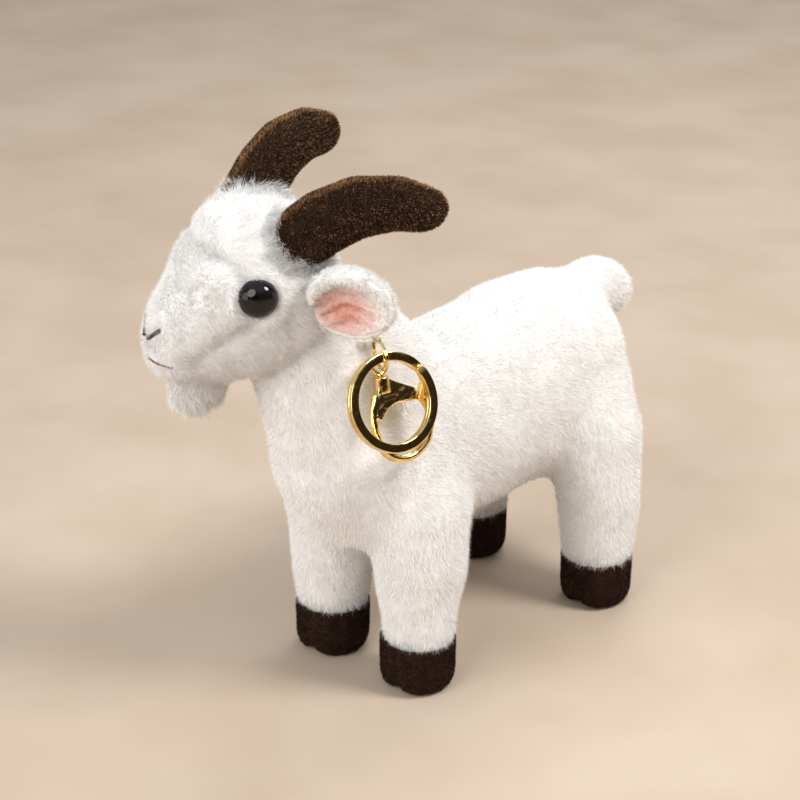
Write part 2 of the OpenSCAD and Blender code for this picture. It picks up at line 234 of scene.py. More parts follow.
def distance_to(tree, points):
    """Distance from each point to a search tree's surface."""
    return np.array([tree.find_nearest(Vector(p))[3] for p in points])


ROOT_REACH_MM = 1.6


def rooted(obj, into, aim, depth):
    """Pushes the end that touches some nodes towards aim, so that no gap shows where it's sewn on."""
    points = coords(obj)
    near = distance_to(surface_of(into), points)
    weight = np.clip(ROOT_REACH_MM - near / MM, 0, 1)[:, None]
    set_coords(obj, points + unit(aim - points) * depth * weight)
    return smooth_shaded(obj)


def puffed(obj, pins, cap, pressure=4.0, last_frame=14):
    """Cloth simulation: air presses the skin out between its pins, by no more than cap."""
    before = coords(obj)
    group = obj.vertex_groups.new(name="pins")
    for index, weight in enumerate(pins):
        group.add([index], float(weight), "REPLACE")
    cloth = obj.modifiers.new("cloth", "CLOTH")
    settings = cloth.settings
    settings.vertex_group_mass = "pins"
    settings.use_pressure = True
    settings.uniform_pressure_force = pressure
    settings.effector_weights.gravity = 0
    settings.quality = 4
    settings.tension_stiffness = 8
    settings.bending_stiffness = 1
    cloth.point_cache.frame_end = last_frame
    for number in range(1, last_frame + 1):
        bpy.context.scene.frame_set(number)
    applied(obj)
    bpy.context.scene.frame_set(1)
    moved = coords(obj) - before
    far = np.linalg.norm(moved, axis=1, keepdims=True)
    set_coords(obj, before + moved * np.minimum(1, cap / np.maximum(far, 1e-9)))
    obj.vertex_groups.clear()
    return smooth_shaded(obj)


def near_path(points, path):
    """Distance from each point to a polyline."""
    best = np.full(len(points), 1.0)
    for a, b in zip(path[:-1], path[1:]):
        a, b = np.array(a), np.array(b)
        along = np.clip((points - a) @ (b - a) / ((b - a) @ (b - a)), 0, 1)
        best = np.minimum(best, np.linalg.norm(points - (a + along[:, None] * (b - a)), axis=1))
    return best


def bell(distance, width):
    return np.exp(-((distance / width) ** 2))


WAVE_COUNT = 6
WAVE_RATE = 2.2
WAVE_SUM = 2.4


def wander(points, size, seed):
    """A smooth, repeatable vector field whose waves are about size long. Its values are near 1."""
    rng = np.random.default_rng(seed)
    out = np.zeros((len(points), 3))
    for _ in range(WAVE_COUNT):
        wave = rng.normal(size=(3, 3)) / size * WAVE_RATE
        out += np.sin(points @ wave + rng.uniform(0, 2 * math.pi, 3))
    return out / WAVE_SUM


# ---- Pile -----------------------------------------------------------------------------------


def unit(vectors):
    return vectors / np.maximum(np.linalg.norm(vectors, axis=1, keepdims=True), 1e-12)


def scattered(obj, per_mm2, rng):
    """Random points over the surface, with the smooth normal at each."""
    mesh = obj.data
    mesh.calc_loop_triangles()
    corners = np.empty(len(mesh.loop_triangles) * 3, int)
    mesh.loop_triangles.foreach_get("vertices", corners)
    corners = corners.reshape(-1, 3)
    points, around = coords(obj), normals(obj)
    a, b, c = (points[corners[:, k]] for k in range(3))
    area = np.linalg.norm(np.cross(b - a, c - a), axis=1) / 2
    count = int(area.sum() / MM**2 * per_mm2)
    pick = rng.choice(len(area), count, p=area / area.sum())
    u, v = rng.random(count), rng.random(count)
    u, v = np.where(u + v > 1, 1 - u, u), np.where(u + v > 1, 1 - v, v)
    weights = np.stack([1 - u - v, u, v], 1)[:, :, None]
    roots = (points[corners[pick]] * weights).sum(1)
    return roots, unit((around[corners[pick]] * weights).sum(1))


SHORTEST, LONGEST = 0.65, 1.15  # a strand's length, as a share of its pile's
LEAN_SPREAD = 0.18
LEAN_MOST = 1.35
STRAY = 0.16  # how far strands point away from their neighbours
SUNK = 0.1  # the share of a strand that is below the skin


def strand_mesh(name, corners, shades, picks):
    """One triangle for each strand, in the shade that was picked for it."""
    count = len(picks)
    mesh = bpy.data.meshes.new(name)
    mesh.vertices.add(3 * count)
    mesh.vertices.foreach_set("co", corners.ravel())
    mesh.loops.add(3 * count)
    mesh.loops.foreach_set("vertex_index", np.arange(3 * count))
    mesh.polygons.add(count)
    mesh.polygons.foreach_set("loop_start", np.arange(0, 3 * count, 3))
    mesh.polygons.foreach_set("material_index", picks)
    for shade, _ in shades:
        mesh.materials.append(shade)
    mesh.update(calc_edges=True)
    return mesh


def pile(name, base, slot, shades, seed, *, per_mm2, length, width, lean, lay,
         keep=None, swirl=0.5, wave=3.0):
    """Strands that stand on base, as a piece of the goat's body.

    Each strand is one narrow triangle. lay(points) is the way they are brushed, and lean says how
    far they lie over. Neighbours share a swirl with waves of about wave millimetres, so that they
    form soft tufts. keep(points) says which roots grow a strand. length is one number, or a
    function of the roots. shades lists materials with their shares.
    """
    rng = np.random.default_rng(seed)
    roots, out = scattered(base, per_mm2, rng)
    if keep is not None:
        chosen = keep(roots)
        roots, out = roots[chosen], out[chosen]
    count = len(roots)
    brushed = lay(roots) + swirl * wander(roots, wave * MM, seed)
    brushed = unit(brushed - out * (brushed * out).sum(1, keepdims=True))
    tall = length(roots) if callable(length) else np.full(count, length)
    lengths = tall[:, None] * rng.uniform(SHORTEST, LONGEST, (count, 1))
    leaning = np.clip(lean + LEAN_SPREAD * rng.normal(size=(count, 1)), 0, LEAN_MOST)
    way = out * np.cos(leaning) + brushed * np.sin(leaning)
    way = unit(way + STRAY * rng.normal(size=roots.shape))
    across = unit(np.cross(way, rng.normal(size=roots.shape))) * width / 2
    sunk = roots - out * SUNK * lengths
    corners = np.stack([sunk - across, sunk + across, roots + way * lengths], 1).reshape(-1, 3)
    shares = np.array([share for _, share in shades])
    picks = rng.choice(len(shades), count, p=shares / shares.sum())
    return finished(new_object(name, strand_mesh(name, corners, shades, picks)), GOAT, slot)


def towards(*direction):
    """A lay that points the same way everywhere."""
    return lambda points: np.tile(np.array(direction, float), (len(points), 1))


# ---- Materials ------------------------------------------------------------------------------


def shader(name, rough, metallic=0.0, **sockets):
    made = bpy.data.materials.new(name)
    made.use_nodes = True
    surface = made.node_tree.nodes["Principled BSDF"]
    surface.inputs["Roughness"].default_value = rough
    surface.inputs["Metallic"].default_value = metallic
    for socket, value in sockets.items():
        surface.inputs[socket.replace("_", " ")].default_value = value
    return made, made.node_tree, surface


def strand(name, colour, rough=0.75, sheen=0.25, shine=0.25):
    made, _, surface = shader(name, rough, Sheen_Weight=sheen, Specular_IOR_Level=shine)
    surface.inputs["Base Color"].default_value = (*colour, 1)
    return made


def noise_node(tree, size_mm, detail=3.0):
    place = tree.nodes.new("ShaderNodeTexCoord")
    made = tree.nodes.new("ShaderNodeTexNoise")
    made.inputs["Scale"].default_value = 1 / (size_mm * MM)
    made.inputs["Detail"].default_value = detail
    tree.links.new(place.outputs["Object"], made.inputs["Vector"])
    return made


def ramp_node(tree, source, low, high, start=0.35, end=0.65):
    made = tree.nodes.new("ShaderNodeValToRGB")
    made.color_ramp.elements[0].position = start
    made.color_ramp.elements[1].position = end
    made.color_ramp.elements[0].color = (*low, 1)
    made.color_ramp.elements[1].color = (*high, 1)
    tree.links.new(source, made.inputs["Fac"])
    return made


def bumped(tree, surface, source, depth_mm, strength=1.0):
    made = tree.nodes.new("ShaderNodeBump")
    made.inputs["Strength"].default_value = strength
    made.inputs["Distance"].default_value = depth_mm * MM
    tree.links.new(source, made.inputs["Height"])
    tree.links.new(made.outputs["Normal"], surface.inputs["Normal"])


def mottled(name, low, high, mottle_mm, rough, **sockets):
    """A shader whose colour wanders between low and high, in patches of about mottle_mm."""
    made, tree, surface = shader(name, rough, **sockets)
    tone = ramp_node(tree, noise_node(tree, mottle_mm).outputs["Fac"], low, high)
    tree.links.new(tone.outputs["Color"], surface.inputs["Base Color"])
    return made, tree, surface


def cloth_material(name, low, high, grain_mm, depth_mm, sheen=0.4):
    """Fabric or thread: mottled colour, and a bump at the size of its yarn."""
    dull = {"Sheen_Weight": sheen, "Specular_IOR_Level": 0.2}
    made, tree, surface = mottled(name, low, high, 4, 0.9, **dull)
    bumped(tree, surface, noise_node(tree, grain_mm, 2).outputs["Fac"], depth_mm)
    return made


def moulded_material(name, low, high, rough, grain_mm, detail, depth_mm, **sockets):
    """Plastic: a little cloudy, and not quite flat."""
    made, tree, surface = mottled(name, low, high, 2, rough, **sockets)
    bumped(tree, surface, noise_node(tree, grain_mm, detail).outputs["Fac"], depth_mm)
    return made


def metal_material(name, low, high, rough_low, rough_high):
    """Plated metal: its colour and its polish vary a little, and handling has left faint ripples."""
    made, tree, surface = shader(name, rough_low, metallic=1.0)
    cloudy = noise_node(tree, 3)
    colour = ramp_node(tree, cloudy.outputs["Fac"], low, high)
    tree.links.new(colour.outputs["Color"], surface.inputs["Base Color"])
    polish = tree.nodes.new("ShaderNodeMapRange")
    polish.inputs["To Min"].default_value = rough_low
    polish.inputs["To Max"].default_value = rough_high
    tree.links.new(noise_node(tree, 0.6).outputs["Fac"], polish.inputs["Value"])
    tree.links.new(polish.outputs["Result"], surface.inputs["Roughness"])
    bumped(tree, surface, noise_node(tree, 2.2, 1).outputs["Fac"], 0.12)
    return made


WHITE_CLOTH = cloth_material("white_backing", (0.78, 0.76, 0.73), (0.9, 0.885, 0.865), 0.5, 0.25)
WHITE_PILE = [
    (strand("white_pile_bright", (0.91, 0.905, 0.9)), 5),
    (strand("white_pile_soft", (0.87, 0.86, 0.845)), 4),
    (strand("white_pile_shade", (0.82, 0.8, 0.785)), 1),
]
BROWN_CLOTH = cloth_material("brown_backing", (0.018, 0.008, 0.004), (0.04, 0.019, 0.009),
                             0.4, 0.2, sheen=0.02)
BROWN_PILE = [
    (strand("brown_pile_dark", (0.028, 0.01, 0.005), 0.7, 0.0), 11),
    (strand("brown_pile_mid", (0.11, 0.045, 0.02), 0.7, 0.0), 6),
    (strand("brown_pile_gold", (0.42, 0.23, 0.1), 0.7, 0.0), 3),
]
# Mostly gold strands for each horn's upper edge: a painted highlight where light catches the rim.
UPPER_EDGE_HIGHLIGHT_PILE = [(BROWN_PILE[2][0], 3), (BROWN_PILE[1][0], 1)]
HOOF_PILE = [
    (strand("hoof_pile_dark", (0.014, 0.005, 0.003), 0.8, 0.0, 0.08), 9),
    (strand("hoof_pile_mid", (0.045, 0.016, 0.009), 0.7, 0.0, 0.12), 3),
]
PINK_PALE = strand("pink_pile_pale", (0.95, 0.86, 0.83))
PINK_LIGHT = strand("pink_pile_light", (0.94, 0.72, 0.66))
PINK_DEEP = strand("pink_pile_deep", (0.89, 0.49, 0.39))
BLUSH = {  # the pink's distances from its middle in millimetres, and the shades between them
    "deep": (0, 3.4, [(PINK_DEEP, 5), (PINK_LIGHT, 2)]),
    "mid": (3.4, 6.0, [(PINK_LIGHT, 5), (PINK_DEEP, 1), (PINK_PALE, 2)]),
    "pale": (6.0, 99, [(PINK_PALE, 3), (WHITE_PILE[0][0], 4)]),
}
STRAW_HAIR = [(strand("straw_hair", (0.8, 0.66, 0.44)), 1)]
GOLD = metal_material("gold_plate", (0.86, 0.58, 0.2), (0.98, 0.76, 0.36), 0.06, 0.15)
STEEL = metal_material("spring_steel", (0.42, 0.42, 0.43), (0.6, 0.6, 0.61), 0.2, 0.4)
DARK_THREAD = cloth_material("dark_thread", (0.03, 0.012, 0.006), (0.09, 0.04, 0.02), 0.25, 0.1)
WHITE_THREAD = cloth_material("white_thread", (0.7, 0.67, 0.62), (0.85, 0.83, 0.79), 0.25, 0.1)
BLACK = moulded_material("black_eye", (0.002, 0.002, 0.002), (0.009, 0.007, 0.006),
                         0.05, 5, 1, 0.02, IOR=1.4)
PLASTIC = moulded_material("washer_plastic", (0.72, 0.72, 0.7), (0.84, 0.84, 0.82), 0.5, 0.4, 3, 0.03)


def painted(obj, material):
    obj.data.materials.clear()
    obj.data.materials.append(material)


def finished(obj, body, slot, *replaced, material=None, fill=None):
    """Paints a piece, puts it on its body and hides the nodes it stands for. slot is not used, and fill
    is not used.
    """
    if material is not None:
        painted(obj, material)
    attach(obj, body)
    if replaced:
        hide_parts(*replaced)
    return obj


# ---- Camera, lights and floor ---------------------------------------------------------------

CAMERA_AT = (41.5, 23.4, 574)  # azimuth and elevation in degrees, distance in millimetres
LOOK_AT = (-21.7, 9, 60.5)
LENS = 91.7
LIT_AT = (0, 0, 80)
WORLD_LOW = (0.035, 0.027, 0.022)  # the studio is dark near the horizon
WORLD_HIGH = (0.95, 0.97, 1)
FLOOR_HALF = 30.0  # in metres, so that its edge stays out of sight in low views
FLOOR_Z = -0.0002


def aim(obj, at, target):
    obj.location = at
    obj.rotation_euler = (Vector(target) - Vector(at)).to_track_quat("-Z", "Y").to_euler()
    bpy.context.scene.collection.objects.link(obj)
    return obj


def around(azimuth, elevation, distance_mm, target_mm):
    """A point seen from the target at an azimuth from -Y and an elevation, in metres."""
    turn, rise = deg(azimuth, elevation)
    way = Vector((math.sin(turn) * math.cos(rise), -math.cos(turn) * math.cos(rise), math.sin(rise)))
    return (Vector(target_mm) + way * distance_mm) * MM


def add_camera():
    data = bpy.data.cameras.new("camera")
    data.lens = LENS
    data.sensor_width = 36
    data.clip_start = 0.02
    camera = bpy.data.objects.new("camera", data)
    bpy.context.scene.camera = aim(camera, around(*CAMERA_AT, LOOK_AT), Vector(LOOK_AT) * MM)


def add_light(name, azimuth, elevation, distance_mm, size_mm, watts, colour):
    """A round lamp that is aimed at the middle of the goat. Its angles are in degrees."""
    data = bpy.data.lights.new(name, "AREA")
    data.shape = "DISK"
    data.size = size_mm * MM
    data.energy = watts
    data.color = colour
    at = around(azimuth, elevation, distance_mm, LIT_AT)
    aim(bpy.data.objects.new(name, data), at, Vector(LIT_AT) * MM)


def add_studio():
    add_light("key", 110, 50, 900, 320, 7, (1, 0.99, 0.97))
    add_light("fill", 5, 30, 1000, 700, 6, (0.98, 0.99, 1))
    add_light("low_fill", -25, 6, 1000, 700, 3, (1, 0.99, 0.98))
    add_light("back", 200, 50, 1000, 500, 3, (1, 1, 1))
    world = bpy.data.worlds.new("studio")
    bpy.context.scene.world = world
    world.use_nodes = True
    tree = world.node_tree
    place = tree.nodes.new("ShaderNodeTexCoord")
    split = tree.nodes.new("ShaderNodeSeparateXYZ")
    tree.links.new(place.outputs["Generated"], split.inputs["Vector"])
    sky = ramp_node(tree, split.outputs["Z"], WORLD_LOW, WORLD_HIGH, 0.3, 0.8)
    tree.links.new(sky.outputs["Color"], tree.nodes["Background"].inputs["Color"])
    tree.nodes["Background"].inputs["Strength"].default_value = 0.75
    bpy.context.scene.view_settings.view_transform = "Standard"


def add_floor():
    made, _, _ = mottled("pale_floor", (0.47, 0.37, 0.28), (0.52, 0.42, 0.33), 60, 0.85,
                         Specular_IOR_Level=0.2)
    half = FLOOR_HALF
    corners = [(-half, -half, 0), (half, -half, 0), (half, half, 0), (-half, half, 0)]
    floor = new_object("floor", mesh_of("floor", corners, [(0, 1, 2, 3)]))
    floor.data.materials.append(made)
    floor.location.z = FLOOR_Z


add_camera()
add_studio()
add_floor()


# ---- Head -----------------------------------------------------------------------------------

# Lines on the head's surface, in the head's own frame: where the brow and the cheeks fold, and
# where the nostrils and the mouth are stitched.
BROW = [
    (-14.3, -24, 18),
    (-12, -26.2, 21.5),
    (-6, -30, 22),
    (0, -31, 21.5),
    (6, -30, 22),
    (12, -26.2, 21.5),
    (14.3, -24, 18),
]
CHEEK = [(17, -22, 6), (15, -27, 1.5), (13.2, -31, -2.5), (11, -34, -6)]
NOSTRIL = [(4.7, -41, 1.6), (0.9, -42.5, -2.3)]
MOUTH = [(-8.8, -38.8, -7.4), (-5, -41.6, -7.6), (0, -42.4, -8.2), (5, -41.6, -7.6), (8.8, -38.8, -7.4)]
HEAD_NODES = ["head_skin_left", "head_skin_right", "forehead_gusset", "chin_panel", "head_stuffing"]
HEAD_MIDDLE = np.array(point(HEAD, (0, -12, 8)))
HEAD_LAY = towards(*(HEAD.to_3x3() @ Vector((0, 1, -0.35))))  # back from the nose, a little down


def in_head(path, side=1):
    return [tuple(point(HEAD @ MIRROR[side], p)) for p in path]


def eye_frame(side):
    return HEAD @ MIRROR[side] @ EYE_IN_HEAD


EYES = {side: np.array(eye_frame(side).translation) for side in (1, -1)}
CREASES = [in_head(BROW), in_head(CHEEK, 1), in_head(CHEEK, -1)]
CREASE_DEPTHS = (1.3 * MM, 1.2 * MM, 1.2 * MM)
CREASE_WIDTH = 2.2 * MM
PLUSH_INSET = 0.9 * MM
HEAD_PUFF = 0.7 * MM
BROW_Z = 21.5 * MM
BROW_BACK = -18 * MM
BROW_SWELL = 0.6 * MM
LID_GAP = 1.5 * MM
LID_SWELL = 0.9 * MM
STITCH_GAP = 0.8 * MM
EYE_LAP = 0.3 * MM  # how far the pile runs under an eye's edge


def brow_swell(points):
    """How far the forehead stands out above the brow's fold."""
    local = local_to(HEAD, points)
    above = local[:, 2] - BROW_Z
    front = np.clip((BROW_BACK - local[:, 1]) / (6 * MM), 0, 1)
    return BROW_SWELL * front * np.clip(above / (2.5 * MM) + 0.3, 0, 1) * bell(above, 6 * MM)


def head_pins(points):
    """The creases, the mouth and the eyes hold the skin down while it is puffed out."""
    pins = np.zeros(len(points))
    for path in CREASES + [in_head(MOUTH)]:
        pins = np.maximum(pins, bell(near_path(points, path), CREASE_WIDTH))
    for eye in EYES.values():
        pins = np.maximum(pins, bell(np.linalg.norm(points - eye, axis=1), 6 * MM))
    return np.clip(pins * 1.4, 0, 1)


def head_base():
    """The stuffed head: creased at the brow and the cheeks, and swollen around the eyes."""
    obj = shrunk(from_nodes("plush_head", HEAD_NODES, 1.4 * MM, 3), PLUSH_INSET)
    puffed(obj, head_pins(coords(obj)), HEAD_PUFF)
    subdivided(obj, 1)
    points = coords(obj)
    depth = 0.3 * MM * wander(points, 9 * MM, seed=3)[:, 0] - brow_swell(points)
    for path, deep in zip(CREASES, CREASE_DEPTHS):
        depth += deep * bell(near_path(points, path), CREASE_WIDTH)
    for eye in EYES.values():
        from_lid = np.linalg.norm(points - eye, axis=1) - EYE_R - LID_GAP
        depth -= LID_SWELL * bell(from_lid, CREASE_WIDTH)
    return shrunk(obj, depth)


def head_keep(points):
    """Everywhere but under the eyes and the nostrils' thread."""
    chosen = np.ones(len(points), bool)
    for side, eye in EYES.items():
        chosen &= near_path(points, in_head(NOSTRIL, side)) > STITCH_GAP
        chosen &= np.linalg.norm(points - eye, axis=1) > EYE_R - EYE_LAP
    return chosen


head = head_base()
finished(head, GOAT, "white_plush", *HEAD_NODES, material=WHITE_CLOTH, fill=0.8)
pile("plush_head_pile", head, "white_plush", WHITE_PILE, 11, per_mm2=14, length=1.7 * MM,
     width=0.13 * MM, lean=0.8, lay=HEAD_LAY, keep=head_keep, swirl=0.55, wave=4.5)


# ---- Body and legs --------------------------------------------------------------------------

BODY_NODES = ["body_skin_left", "body_skin_right", "belly_panel", "body_stuffing"]
BODY_NODES += ["tail_skin", "tail_stuffing"]
BODY_NODES += [f"{leg}_leg_{part}" for leg in LEGS for part in ("skin", "stuffing")]
NECK_TUCK = 2.2 * MM
OWN_SKIN = 0.8 * MM  # further than this from the body's own nodes, its skin is inside the head
BODY_PUFF = 0.8 * MM
LEG_TOP = 70 * MM
BODY_PARTS = {"front": (-200 * MM, -12 * MM), "rear": (-12 * MM, 200 * MM)}
CUFF = (0.1 * MM, 2.2 * MM)  # the hairs that hang over a hoof's upper edge, measured above it


def body_base():
    """The body runs on into the head, under the head's own skin, so that the neck has no gap."""
    obj = from_nodes("plush_body", BODY_NODES + HEAD_NODES, 2.0 * MM, 5)
    far = distance_to(surface_of(BODY_NODES), coords(obj))
    shrunk(obj, PLUSH_INSET + NECK_TUCK * np.clip((far - OWN_SKIN) / (4 * MM), 0, 1))
    points = coords(obj)
    seam = bell(np.abs(points[:, 0]), 2.5 * MM)
    still = (points[:, 2] < HOOF_H + 4 * MM) | (far > OWN_SKIN)
    puffed(obj, np.clip(seam * 0.8 + still, 0, 1), BODY_PUFF)
    subdivided(obj, 1)
    return shrunk(obj, 0.35 * MM * wander(coords(obj), 14 * MM, seed=5)[:, 0])


HEAD_TREE = BVHTree.FromObject(head, bpy.context.evaluated_depsgraph_get())


def outside_head(points):
    """True where a point lies outside the head's finished skin."""
    out = np.empty(len(points), bool)
    for i, p in enumerate(points):
        near, normal, _, _ = HEAD_TREE.find_nearest(Vector(p))
        out[i] = (Vector(p) - near).dot(normal) > -0.3 * MM
    return out


def body_keep(start, end):
    """The body between two places along it, above the hooves and outside the head."""

    def keep(points):
        part = (points[:, 1] >= start) & (points[:, 1] < end) & (points[:, 2] > HOOF_H + 0.2 * MM)
        part[part] = outside_head(points[part])
        return part

    return keep


def body_lay(points):
    """Brushed back along the body and down the legs."""
    down = np.clip((LEG_TOP - points[:, 2:3]) / (30 * MM), 0, 1)
    return (1 - down) * np.array([0, 1, -0.6]) + down * np.array([0, 0.1, -1])


def cuff_keep(points):
    return (points[:, 2] > HOOF_H + CUFF[0]) & (points[:, 2] < HOOF_H + CUFF[1])


body = body_base()
finished(body, GOAT, "white_plush", *BODY_NODES, material=WHITE_CLOTH, fill=0.8)
for part, (start, end) in BODY_PARTS.items():
    pile(f"plush_{part}_pile", body, "white_plush", WHITE_PILE, 21, per_mm2=7.5, length=1.6 * MM,
         width=0.15 * MM, lean=0.9, lay=body_lay, keep=body_keep(start, end), swirl=0.32, wave=7)
pile("leg_cuff_pile", body, "white_plush", WHITE_PILE, 22, per_mm2=14, length=2.6 * MM,
     width=0.17 * MM, lean=1.15, lay=towards(0, 0, -1), keep=cuff_keep)


# ---- Hooves ---------------------------------------------------------------------------------

CLEFT = 1.1 * MM
CLEFT_WIDTH = 2.6 * MM
CLEFT_TOP = 12 * MM
CLEFT_LIFT = 5 * MM  # below this the surface is drawn up as well
SOLE_BARE = 1.2 * MM


def hoof_base(leg):
    """A stuffed hoof with a shallow cleft down its front."""
    obj = from_nodes(f"{leg}_hoof_plush", [f"{leg}_hoof", f"{leg}_sole"], 0.8 * MM, 3)
    shrunk(obj, 0.5 * MM)
    points = coords(obj)
    centre = middle(f"{leg}_hoof")
    cleft = CLEFT * bell(points[:, 0] - centre.x, CLEFT_WIDTH) * (points[:, 1] < centre.y)
    cleft *= np.clip(1 - points[:, 2] / CLEFT_TOP, 0, 1)
    points[:, 1] += cleft
    points[:, 2] += cleft * (points[:, 2] < CLEFT_LIFT)
    set_coords(obj, points)
    return obj


def above_sole(points):
    return points[:, 2] > SOLE_BARE


for number, leg in enumerate(LEGS):
    hoof = hoof_base(leg)
    finished(hoof, GOAT, "brown_plush", f"{leg}_hoof", f"{leg}_sole", material=BROWN_CLOTH, fill=0.9)
    pile(f"{leg}_hoof_pile", hoof, "brown_plush", HOOF_PILE, 30 + number, per_mm2=14, length=0.8 * MM,
         width=0.15 * MM, lean=0.7, lay=towards(0, 0, -1), keep=above_sole, wave=2)


# ---- Horns ----------------------------------------------------------------------------------

# The left horn's middle line with its half height and slant, in the head's frame. The right horn
# is sewn on a little further ahead and higher, and reaches less far back.
HORN_LINE = [
    ((7.5, -13, 18), 7.4, 50),
    ((10.3, -8.4, 23), 7.8, 44),
    ((13.5, -3, 28.8), 7.9, 31),
    ((17.2, 4, 33.4), 7.5, 16),
    ((21, 12.5, 34.8), 6.6, -5),
    ((24, 20, 33), 5.3, -22),
    ((25, 22.8, 31.7), 2.6, -28),
]
RIGHT_HORN_REACH = 0.9
RIGHT_HORN_SHIFT = (-1, -5.8, 1.5)
# The painted highlight's line lies this share of the half height above the horn's middle line.
HIGHLIGHT_EDGE_LIFT = 0.93
HORN_SINK = 3.5 * MM


def horn_points(side, lift=0.0):
    """The horn's middle line, or with lift 1 the line along its upper edge."""
    out = []
    for (x, y, z), high, slant in HORN_LINE:
        if side < 0:
            shift_x, shift_y, shift_z = RIGHT_HORN_SHIFT
            x, y, z = x + shift_x, y * RIGHT_HORN_REACH + shift_y, z + shift_z
        turn = math.radians(slant)
        out.append((x, y - lift * high * math.sin(turn), z + lift * high * math.cos(turn)))
    return in_head(out, side)


def horn_lay(side):
    """Brushed from the base to the tip."""
    line = np.array(horn_points(side))

    def lay(points):
        nearest = np.linalg.norm(points[:, None] - line[None, :-1], axis=2).argmin(1)
        return unit(line[nearest + 1] - line[nearest])

    return lay


# Roots along the horn's upper edge, where gold strands paint a highlight.
def along_highlight_edge(side):
    path = horn_points(side, HIGHLIGHT_EDGE_LIFT)
    return lambda points: near_path(points, path) < 0.9 * MM


def near_head(points):
    return distance_to(surface_of(HEAD_NODES[:3]), points) < 1.5 * MM


def beside(node, reach):
    """Roots within reach of a node, for hairs that hide where it is sewn on."""
    tree = surface_of([node])
    return lambda points: distance_to(tree, points) < reach


def horn_base(name):
    """A stuffed horn whose root is sunk into the head."""
    nodes = [f"{name}_horn_skin", f"{name}_horn_stuffing"]
    obj = shrunk(from_nodes(f"{name}_horn_plush", nodes, 0.9 * MM, 14), 0.2 * MM)
    rooted(obj, HEAD_NODES, HEAD_MIDDLE, HORN_SINK)
    return finished(obj, GOAT, "brown_plush", *nodes, material=BROWN_CLOTH, fill=0.9)


for name, side in SIDES.items():
    horn = horn_base(name)
    to_tip = horn_lay(side)
    upward = towards(*(HEAD.to_3x3() @ Vector((0.3 * side, 0.25, 1))))
    pile(f"{name}_horn_pile", horn, "brown_plush", BROWN_PILE, 42 + side, per_mm2=24,
         length=0.75 * MM, width=0.2 * MM, lean=0.3, lay=to_tip, swirl=0.9, wave=1.6)
    # Longer gold strands along the upper edge: a painted highlight.
    pile(f"{name}_horn_highlight_pile", horn, "brown_plush", UPPER_EDGE_HIGHLIGHT_PILE, 45 + side, per_mm2=16,
         length=1.2 * MM, width=0.2 * MM, lean=0.5, lay=to_tip, keep=along_highlight_edge(side),
         swirl=0.8, wave=1.2)
    pile(f"{name}_horn_fringe_pile", head, "white_plush", WHITE_PILE, 48 + side, per_mm2=16,
         length=3.2 * MM, width=0.14 * MM, lean=0.55, lay=upward,
         keep=beside(f"{name}_horn_skin", 2.4 * MM), swirl=0.7)
    pile(f"{name}_horn_collar_pile", horn, "white_plush", WHITE_PILE, 56 + side, per_mm2=10,
         length=3.0 * MM, width=0.14 * MM, lean=1.0, lay=to_tip, keep=near_head, swirl=0.6)


# ---- Ears and beard -------------------------------------------------------------------------

EAR_AT = (17.3, -8.3, 9.8)
EAR_LENGTH = 22
EAR_HEIGHT = 21.5
EAR_SWING = (0, 0, 52)
EAR_TILT = (14, -8, 0)
EAR_SINK = 2 * MM
RIGHT_EAR_DROP = 4
RIM_INSET = 0.84  # the rim's path, as a share of the ear's half length and half height
RIM_SPAN = (-50, 185)  # degrees about the ear's middle, from its tip
RIM_THIN = 0.4  # its radius at both ends in millimetres, and what is added in the middle
RIM_SWELL = 1.15
EAR_FOLD = [(-7, 1, -4), (-1.5, 2, -1.5), (4, 1, -4)]
FOLD_DEPTH = 1.0 * MM
BLUSH_AT = (-2.5, 1, -3)


def turned(angles):
    return Euler(deg(*angles)).to_matrix().to_4x4()


def ear_frame(side):
    """An ear's own frame: +X along it to its tip, +Y to its back, +Z up."""
    drop = RIGHT_EAR_DROP if side < 0 else 0
    seat = Matrix.Translation(Vector(EAR_AT) * MM - Vector((0, 0, drop * MM)))
    half = Matrix.Translation(Vector((EAR_LENGTH / 2 * MM, 0, 0)))
    return HEAD @ MIRROR[side] @ seat @ (turned(EAR_SWING) @ turned(EAR_TILT)) @ half


def blush_distance(side, points):
    """How far a point of the lining is from the middle of its pink, in millimetres."""
    local = local_to(ear_frame(side), points) / MM
    x, z = local[:, 0] - BLUSH_AT[0], local[:, 2] - BLUSH_AT[2]
    return np.hypot(x / 1.35, z + 0.2 * x)


def blushed_cloth(side):
    """Pink backing that fades to nearly white away from the ear's fold."""
    dull = {"Sheen_Weight": 0.3, "Specular_IOR_Level": 0.2}
    made, tree, surface = shader(f"pink_backing_{side}", 0.9, **dull)
    place = tree.nodes.new("ShaderNodeTexCoord")
    far = tree.nodes.new("ShaderNodeVectorMath")
    far.operation = "DISTANCE"
    far.inputs[1].default_value = point(ear_frame(side), BLUSH_AT)
    tree.links.new(place.outputs["Object"], far.inputs[0])
    uneven = tree.nodes.new("ShaderNodeMath")
    uneven.operation = "MULTIPLY_ADD"
    uneven.inputs[1].default_value = 2.5 * MM
    tree.links.new(noise_node(tree, 2).outputs["Fac"], uneven.inputs[0])
    tree.links.new(far.outputs["Value"], uneven.inputs[2])
    share = tree.nodes.new("ShaderNodeMapRange")
    share.inputs["From Max"].default_value = 10 * MM
    tree.links.new(uneven.outputs["Value"], share.inputs["Value"])
    fade = ramp_node(tree, share.outputs["Result"], (0.84, 0.45, 0.37), (0.93, 0.86, 0.83), 0.3, 1.0)
    tree.links.new(fade.outputs["Color"], surface.inputs["Base Color"])
    bumped(tree, surface, noise_node(tree, 0.5, 2).outputs["Fac"], 0.2)
    return made


